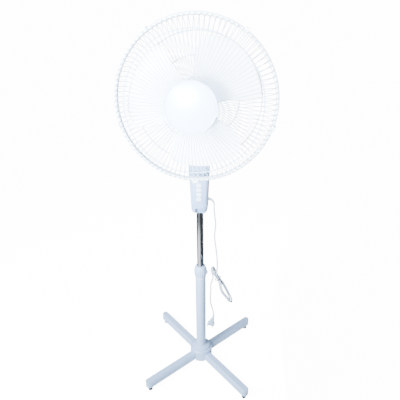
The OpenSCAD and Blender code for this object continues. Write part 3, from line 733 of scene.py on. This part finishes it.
# push buttons: rounded keys with a dished face, and the stem that reaches the switch
for name, z in zip(("off", "low", "medium", "high"), BUTTON_Z):
    loops = []
    for w, h, y in ((9.3, 6.8, -23.9), (9.3, 6.8, -28.3), (9.2, 6.7, -29.6), (8.9, 6.4, -30.5),
                    (8.3, 5.8, -31.1), (7.4, 5.0, -31.45), (5.2, 3.5, -31.3), (2.6, 1.7, -31.1),
                    (0.4, 0.3, -31.0)):
        loops.append([Vector((w * math.copysign(abs(math.cos(a)) ** 0.86, math.cos(a)), y,
                              z + h * math.copysign(abs(math.sin(a)) ** 0.86, math.sin(a)))) * MM
                      for a in [2 * math.pi * i / 40 for i in range(40)]])
    stem_part = block(-4, 4, -24.4, -15, z - 4, z + 4, 0.6, 3)
    make("button_key_" + name, *join([loft(loops), stem_part]), "button", "button_" + name,
         ("button_" + name,), angle=40, slot="button_" + name)


# ------------------------------------------------------------------ turned and fluted pieces
def fluted(profile, count, depth, span, sides=180, phase=0.0, power=1.0):
    """A turned piece whose radius dips in flutes between the heights in span."""
    loops = []
    lo, hi = span
    for r, z in profile:
        u = 0.0 if not lo < z < hi else min(1.0, (z - lo) / 3.0, (hi - z) / 3.0)
        loop = []
        for k in range(sides):
            a = 2 * math.pi * k / sides
            dip = (0.5 + 0.5 * math.cos(count * a + phase)) ** power
            rr = r - depth * u * dip
            loop.append(Vector((rr * math.cos(a), rr * math.sin(a), z)) * MM)
        loops.append(loop)
    n = sides
    verts = [p for l in loops for p in l]
    faces = []
    m = len(loops)
    for i in range(m):
        j = (i + 1) % m
        for k in range(n):
            k2 = (k + 1) % n
            faces.append((i * n + k, i * n + k2, j * n + k2, j * n + k))
    return verts, faces


def steps(z0, z1, n):
    return [z0 + (z1 - z0) * i / n for i in range(n + 1)]


# chrome mast tube with rolled ends
prof = [(12.0, 240.4), (12.0, 708.6), (11.8, 709.0), (11.1, 709.0), (11.0, 708.8), (11.0, 240.2),
        (11.2, 240.0), (11.8, 240.0)]
make("chrome_mast_tube", *lathe([(r * MM, z * MM) for r, z in prof], 160, closed=True), "chrome", "mast",
     ("inner_pole",), angle=35, slot="inner_pole")

# height collar: a fluted grip on a cone, with a small clamp boss at the side
outer = [(19.2, 404.2), (19.9, 404.6), (20.3, 406.2), (21.0, 411.0), (22.0, 415.5)]
outer += [(22.5 - 0.02 * (z - 425) ** 2 / 10, z) for z in steps(417, 434, 10)]
outer += [(21.6, 436.0), (20.4, 439.5), (19.3, 443.5), (18.2, 447.0), (17.4, 448.4), (16.4, 449.0),
          (12.9, 449.0), (12.5, 448.4), (12.5, 443.0), (15.1, 443.0), (15.1, 404.4), (15.6, 404.1)]
collar = fluted(outer, 18, 1.3, (407, 437), power=2.0)
boss = loft([[Vector((x, r * math.cos(a), 422.1 + r * math.sin(a))) * MM
              for a in [2 * math.pi * i / 32 for i in range(32)]]
             for x, r in ((19.0, 6.0), (24.6, 6.0), (25.5, 5.6), (25.9, 4.9), (25.4, 3.4), (25.4, 0.6))])
make("height_grip", *join([collar, boss]), "paint", "height_collar", ("height_collar",), angle=35,
     slot="height_collar")

# ring nut that clamps the rear guard
outer = [(30.0, z) for z in steps(35.2, 43.0, 8)]
prof = ([(29.2, 34.6)]
        + outer
        + [(29.4, 43.6), (26.0, 43.6), (24.5, 42.4), (18.6, 42.4), (17.4, 43.2), (17.06, 43.0),
           (17.06, 35.0), (17.5, 34.6)])
make("guard_ring_nut", *mapped(fluted(prof, 12, 2.0, (34.0, 44.5), 192, power=1.5), AXIS),
     "motor", "head", ("guard_nut",), angle=35, slot="guard_nut")

# spinner nut on the shaft end, with finger flutes and a rounded nose
prof = ([(14.0, 140.1), (15.0, 141.0)]
        + [(15.0, z) for z in steps(142, 149.5, 6)]
        + [(14.4, 151.4), (12.9, 153.4), (10.6, 155.0), (7.5, 155.8), (3.6, 156.0), (1.2, 156.0),
           (1.2, 152.3), (4.0, 152.2), (4.0, 140.1)])
make("spinner_cap", *mapped(fluted(prof, 6, 1.9, (139.0, 153.5), 120, power=1.3), AXIS), "blade", "rotor",
     ("spinner_nut",), angle=35, slot="spinner_nut")

# tilt knob: lobed grip with a dished face
prof = ([(6.0, 17.1), (6.0, 20.8), (7.0, 21.1), (11.8, 21.1), (12.7, 21.6)]
        + [(13.0, z) for z in steps(22.4, 31.0, 6)]
        + [(12.8, 32.0), (12.0, 32.9), (10.9, 33.1), (9.5, 32.4), (5.5, 31.7), (3.07, 31.6), (3.07, 17.1)])
KNOB = Matrix.Translation((0, 0, TILT_Z)) @ Matrix.Rotation(math.radians(90), 4, "Y")
make("tilt_grip", *mapped(fluted(prof, 8, 1.9, (21.3, 33.5), 160, power=1.5), KNOB),
     "shell", "tilt_knob", ("tilt_knob",), angle=35, slot="tilt_knob")

# oscillation knob: fluted pull button over its rod
prof = ([(4.0, 6.0), (4.0, 71.6), (4.4, 72.0), (7.4, 72.0), (8.0, 72.6)]
        + [(8.0 - 0.08 * (z - 73), z) for z in steps(73, 81.5, 5)]
        + [(6.8, 83.0), (5.6, 83.8), (3.0, 84.0), (0.6, 84.0), (0.6, 6.0)])
make("oscillation_pull", *mapped(fluted(prof, 12, 0.8, (72.3, 83.0), 96),
                                 HEAD @ Matrix.Translation((0, 0.043, 0))),
     "motor", "oscillation_knob", ("oscillation_knob",), angle=35, slot="oscillation_knob")

# motor shells: a rounded can with vent slots round the back and through the end
FRONT = [(60.0, 0.0), (60.0, 22.0), (59.7, 25.0), (58.7, 28.0), (56.8, 30.4), (54.0, 31.7), (51.0, 32.0),
         (17.25, 32.0), (17.25, 29.8), (56.0, 29.8), (57.6, 27.0), (57.6, 0.0)]
fr_shell = solid("motor_can_front",
                 mapped(lathe([(r * MM, s * MM) for r, s in FRONT], 160, closed=True), AXIS), "motor")
cutters = [solid("c_neck", mapped(rod((0, 0, -80), (0, 0, -40), 15.0), HEAD))]
for k in range(12):
    a = math.radians(15 + 30 * k)
    x, y = 42 * math.cos(a), 42 * math.sin(a)
    cutters.append(solid("c_v%d" % k, mapped(rod((x, y, 26), (x, y, 36), 3.0, 20), AXIS)))
carve(fr_shell, cutters, (), 32.0)
finish_piece(fr_shell, "head", ("motor_shell_front",))
REAR = [(60.0, -0.2), (60.0, -50.0), (59.3, -53.5), (57.2, -57.5), (54.0, -61.5), (50.3, -64.8),
        (46.5, -67.6), (42.0, -70.3), (37.5, -72.5), (33.5, -73.7), (29.0, -74.0), (0.0, -74.0),
        (0.0, -71.7), (28.8, -71.7), (32.8, -71.4), (36.6, -70.4), (40.8, -68.4), (45.0, -65.9),
        (48.6, -63.2), (52.2, -60.0), (55.2, -56.2), (57.0, -52.6), (57.6, -49.8), (57.6, -0.2)]
re_shell = solid("motor_can_rear",
                 mapped(lathe([(r * MM, s * MM) for r, s in REAR], 160, closed=False), AXIS), "motor")
cutters = [solid("c_neck", mapped(rod((0, 0, -80), (0, 0, -40), 15.0), HEAD)),
           solid("c_rod", mapped(rod((0, 43, 40), (0, 43, 80), 5.0), HEAD))]
for k in range(-4, 5):
    half = math.sqrt(29 ** 2 - (k * 6.6) ** 2)
    slit = block(k * 6.6 - 1.4, k * 6.6 + 1.4, 60, 90, -half, half, 1.35, 4)
    cutters.append(solid("c_s%d" % (k + 4), mapped(slit, HEAD)))
for k in range(20):
    a = 18.0 * k + 9.0
    if abs(a - 270) < 30 or abs(a - 90) < 12:
        continue
    m = AXIS @ Matrix.Rotation(math.radians(a), 4, "Z")
    loop = [(-1.4, -46), (1.4, -46), (1.4, -30), (-1.4, -30)]
    slit = loft([[Vector((x, y, s)) * MM for y, s in loop] for x in (52, 66)])
    cutters.append(solid("c_r%d" % k, mapped(slit, m)))
carve(re_shell, cutters, (), 32.0)
finish_piece(re_shell, "head", ("motor_shell_rear",))

# edges of the plain pieces are eased
for node, width in (("base_bar_lower", 1.1), ("base_bar_upper", 1.1), ("base_end_caps", 1.3),
                    ("rubber_feet", 0.6), ("base_cover", 0.5), ("neck_column", 1.2), ("tilt_neck", 1.2),
                    ("pole_flange", 0.6), ("base_screws", 0.4), ("pole_bushing", 0.4), ("outer_pole", 0.3),
                    ("gearbox", 1.0), ("motor_yoke", 0.8), ("motor_front_bracket", 0.6),
                    ("pole_socket", 0.6), ("box_screws", 0.3)):
    bevel(node, width * MM)

# ------------------------------------------------------------------ world and light
world = bpy.data.worlds.new("studio")
scene.world = world
world.use_nodes = True
wb = world.node_tree.nodes["Background"]
wb.inputs["Color"].default_value = (0.72, 0.87, 1.0, 1)
wb.inputs["Strength"].default_value = 0.54


def area_light(name, loc, target, size, power, color=(1, 1, 1)):
    d = bpy.data.lights.new(name, "AREA")
    d.shape, d.size, d.size_y = "RECTANGLE", size[0], size[1]
    d.energy, d.color = power, color
    o = bpy.data.objects.new(name, d)
    scene.collection.objects.link(o)
    o.location = loc
    o.rotation_mode = "QUATERNION"
    o.rotation_quaternion = (Vector(target) - Vector(loc)).to_track_quat("-Z", "Y")
    return o


area_light("key", (-1.05, -1.10, 1.65), (0, 0, 0.85), (0.5, 0.5), 130, (0.78, 0.90, 1.0))
softbox = area_light("softbox", (-0.27, -1.50, 1.29), (0, -0.18, 1.05), (0.55, 0.24), 25, (0.86, 0.94, 1.0))
softbox.data.spread = math.radians(70)
head_spot = bpy.data.lights.new("head_spot", "SPOT")
head_spot.energy, head_spot.color = 640, (0.86, 0.94, 1.0)
head_spot.spot_size, head_spot.spot_blend, head_spot.shadow_soft_size = math.radians(19), 0.12, 0.12
hs = bpy.data.objects.new("head_spot", head_spot)
scene.collection.objects.link(hs)
hs.location = (-0.35, -1.62, 1.22)
hs.rotation_mode = "QUATERNION"
hs.rotation_quaternion = (Vector((0, -0.09, 1.066)) - hs.location).to_track_quat("-Z", "Y")
area_light("fill", (1.5, -1.6, 1.2), (0, 0, 0.6), (1.2, 1.6), 2, (0.80, 0.91, 1.0))
area_light("top", (-0.2, 0.7, 2.6), (0, 0, 0.7), (1.4, 1.4), 10, (0.80, 0.91, 1.0))

# floor: a plain white sweep; seen directly it is evenly white, and it bounces a soft light upwards
FLOOR_GLOW, BACKDROP_GLOW = 0.05, 14.0                       # emission towards the set, and the camera
me = bpy.data.meshes.new("floor")
me.from_pydata([(-90, -90, 0), (90, -90, 0), (90, 90, 0), (-90, 90, 0)], [], [(0, 1, 2, 3)])
floor = bpy.data.objects.new("floor", me)
scene.collection.objects.link(floor)
fm = material("floor_white", (0.90, 0.90, 0.90), rough=0.9, vary=0.004, scale=3.0)
ft = fm.node_tree
fb = ft.nodes["Principled BSDF"]
lp = ft.nodes.new("ShaderNodeLightPath")
glow = ft.nodes.new("ShaderNodeMapRange")
glow.inputs["To Min"].default_value = FLOOR_GLOW
glow.inputs["To Max"].default_value = BACKDROP_GLOW
ft.links.new(lp.outputs["Is Camera Ray"], glow.inputs["Value"])
ft.links.new(glow.outputs["Result"], fb.inputs["Emission Strength"])
fb.inputs["Emission Color"].default_value = (1, 1, 1, 1)
floor.data.materials.append(fm)


def flag(name, path, z0, z1, tone, diffuse=False):
    """A black card the camera does not see: it darkens a reflection, or takes bounced light away."""
    me = bpy.data.meshes.new(name)
    me.from_pydata([(x, y, z) for x, y in path for z in (z0, z1)], [],
                   [(2 * i, 2 * i + 2, 2 * i + 3, 2 * i + 1) for i in range(len(path) - 1)])
    o = bpy.data.objects.new(name, me)
    scene.collection.objects.link(o)
    me.materials.append(material(name, (tone, tone, tone * 1.03), rough=0.9, spec=0.1, vary=0.1))
    o.visible_camera = False
    o.visible_diffuse = o.visible_shadow = diffuse
    o.visible_glossy = not diffuse
    return o


FLAG_BOTTOM, FLAG_TOP = 0.055, 0.67
flag("flag_right", [(0.045, -0.34), (0.10, -0.12), (0.10, 0.22)], FLAG_BOTTOM, FLAG_TOP, 0.016)
flag("flag_left", [(-0.10, -0.045), (-0.10, 0.55)], FLAG_BOTTOM, FLAG_TOP, 0.05)
flag("flag_dim", [(0.32, -0.9), (0.32, 0.5)], 0.01, 0.84, 0.02, diffuse=True)
